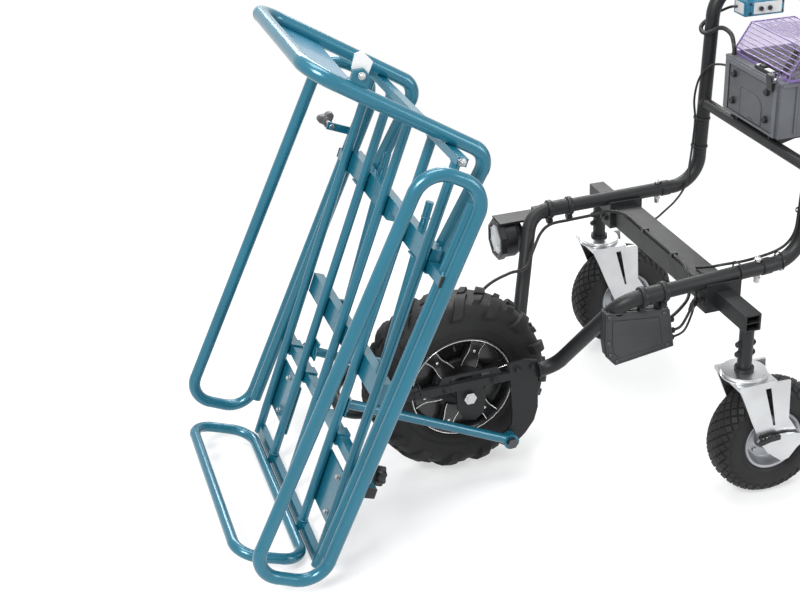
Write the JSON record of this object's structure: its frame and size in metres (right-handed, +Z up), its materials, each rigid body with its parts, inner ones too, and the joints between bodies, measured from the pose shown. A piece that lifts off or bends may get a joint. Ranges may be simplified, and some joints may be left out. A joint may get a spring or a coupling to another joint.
{
  "type": "electric wheelbarrow",
  "caption": "Electric wheelbarrow with a tipping bar deck, sliding side rails, hub-motor front wheel, trailing casters and a battery case between the handles.",
  "frame": {"origin": "centre of the bounding box at ground level", "axes": "+X back to the operator along the handles, +Y to the operator's right, +Z up"},
  "size_m": [1.5435, 0.82, 0.991],
  "materials": {
    "dark_paint": "satin",
    "teal_paint": "gloss",
    "blue_paint": "gloss",
    "zinc": "satin",
    "steel": "satin",
    "white_paint": "satin",
    "tyre_rubber": "matte",
    "black_rubber": "matte",
    "black_plastic": "matte",
    "grey_plastic": "satin",
    "black_rim": "satin",
    "grey_rim": "satin",
    "motor_alloy": "satin",
    "clear_purple": "gloss",
    "lens": "gloss"
  },
  "bodies": {
    "chassis": {"main_tubes": "dark_paint", "handle_tubes": "dark_paint", "fork_plates": "dark_paint", "front_bumper": "dark_paint", "cross_beam": "dark_paint", "beam_extensions": "dark_paint", "battery_shelf": "dark_paint", "battery_case": "grey_plastic", "battery_panel": "grey_plastic", "case_screws": "black_plastic", "battery_packs": "black_plastic", "control_box_base": "black_plastic", "control_box_cover": "black_plastic", "motor_controller": "motor_alloy", "headlight_housing": "black_plastic", "headlight_lens": "lens", "headlight_bracket": "zinc", "handle_box": "blue_paint", "handle_grips": "black_rubber", "lever_clamps": "black_plastic", "motor_cable": "black_rubber", "battery_cable": "black_rubber", "battery_conduit": "black_plastic", "handle_cable": "black_rubber", "frame_bolts": "steel", "pivot_bolts": "steel", "front_axle": "steel", "axle_nuts": "steel"},
    "front_wheel": {"front_tyre": "tyre_rubber", "front_rim": "black_rim", "hub_motor": "motor_alloy"},
    "left_caster": {"left_caster_fork": "zinc", "left_caster_axle": "steel"},
    "right_caster": {"right_caster_fork": "zinc", "right_caster_axle": "steel"},
    "left_caster_wheel": {"left_caster_tyre": "tyre_rubber", "left_caster_rim": "grey_rim"},
    "right_caster_wheel": {"right_caster_tyre": "tyre_rubber", "right_caster_rim": "grey_rim"},
    "left_brake": {"left_brake_pedal": "zinc"},
    "right_brake": {"right_brake_pedal": "zinc"},
    "lid": {"battery_lid": "clear_purple"},
    "latch": {"lid_latch": "black_plastic"},
    "drive_trigger": {"drive_lever": "black_plastic"},
    "brake_handle": {"brake_lever": "steel"},
    "tray": {"deck_bars": "teal_paint", "deck_channels": "teal_paint", "front_hoop": "teal_paint", "rear_hoop": "teal_paint", "hoop_gusset": "blue_paint", "deck_plates": "teal_paint", "stiffener_tubes": "teal_paint", "tilt_arms": "teal_paint", "slide_guides": "teal_paint"},
    "catch": {"tray_latch": "white_paint"},
    "left_side": {"left_guard": "teal_paint"},
    "right_side": {"right_guard": "teal_paint"},
    "left_knob": {"left_clamp_knob": "black_plastic"},
    "right_knob": {"right_clamp_knob": "black_plastic"},
    "lug_knob": {"outer_knob": "grey_plastic"}
  },
  "joints": [
    {"name": "tray_tilt", "type": "hinge", "parent": "chassis", "child": "tray", "pos_m": [-0.15, 0, 0.089], "axis": [0, 1, 0], "range_deg": [0, 60]},
    {"name": "wheel_spin", "type": "hinge", "parent": "chassis", "child": "front_wheel", "pos_m": [-0.231, 0, 0.203], "axis": [0, 1, 0], "continuous": true},
    {"name": "left_caster_swivel", "type": "hinge", "parent": "chassis", "child": "left_caster", "pos_m": [0.2655, -0.348, 0.29], "axis": [0, 0, 1], "continuous": true},
    {"name": "right_caster_swivel", "type": "hinge", "parent": "chassis", "child": "right_caster", "pos_m": [0.2655, 0.348, 0.29], "axis": [0, 0, 1], "continuous": true},
    {"name": "left_caster_spin", "type": "hinge", "parent": "left_caster", "child": "left_caster_wheel", "pos_m": [0.3295, -0.348, 0.1285], "axis": [0, 1, 0], "continuous": true},
    {"name": "right_caster_spin", "type": "hinge", "parent": "right_caster", "child": "right_caster_wheel", "pos_m": [0.3295, 0.348, 0.1285], "axis": [0, 1, 0], "continuous": true},
    {"name": "left_brake_step", "type": "hinge", "parent": "left_caster", "child": "left_brake", "pos_m": [0.3615, -0.404, 0.14], "axis": [0, 1, 0], "range_deg": [0, 20]},
    {"name": "right_brake_step", "type": "hinge", "parent": "right_caster", "child": "right_brake", "pos_m": [0.3615, 0.404, 0.14], "axis": [0, 1, 0], "range_deg": [0, 20]},
    {"name": "lid_hinge", "type": "hinge", "parent": "chassis", "child": "lid", "pos_m": [0.638, 0, 0.796], "axis": [0, 1, 0], "range_deg": [0, 100]},
    {"name": "lid_latch_hinge", "type": "hinge", "parent": "lid", "child": "latch", "pos_m": [0.442, -0.086, 0.8003], "axis": [0, 1, 0], "range_deg": [0, 60]},
    {"name": "drive_squeeze", "type": "hinge", "parent": "chassis", "child": "drive_trigger", "pos_m": [0.625, 0.22, 0.885], "axis": [0, -1, 0], "range_deg": [0, 6]},
    {"name": "brake_squeeze", "type": "hinge", "parent": "chassis", "child": "brake_handle", "pos_m": [0.625, -0.22, 0.885], "axis": [0, -1, 0], "range_deg": [0, 6]},
    {"name": "tray_catch", "type": "hinge", "parent": "tray", "child": "catch", "pos_m": [-0.44457, -0.2, 0.95355], "axis": [0, 1, 0], "range_deg": [0, 45]},
    {"name": "left_side_slide", "type": "slide", "parent": "tray", "child": "left_side", "axis": [0, 1, 0], "range_m": [0, 0.02]},
    {"name": "right_side_slide", "type": "slide", "parent": "tray", "child": "right_side", "axis": [0, -1, 0], "range_m": [0, 0.02]},
    {"name": "left_knob_turn", "type": "hinge", "parent": "tray", "child": "left_knob", "pos_m": [-0.48637, -0.27, 0.19004], "axis": [-0.9278, 0, 0.373], "continuous": true},
    {"name": "right_knob_turn", "type": "hinge", "parent": "tray", "child": "right_knob", "pos_m": [-0.48637, 0.27, 0.19004], "axis": [-0.9278, 0, 0.373], "continuous": true},
    {"name": "lug_knob_turn", "type": "hinge", "parent": "right_side", "child": "lug_knob", "pos_m": [-0.3719, 0.385, 0.66782], "axis": [0, 1, 0], "continuous": true}
  ]
}
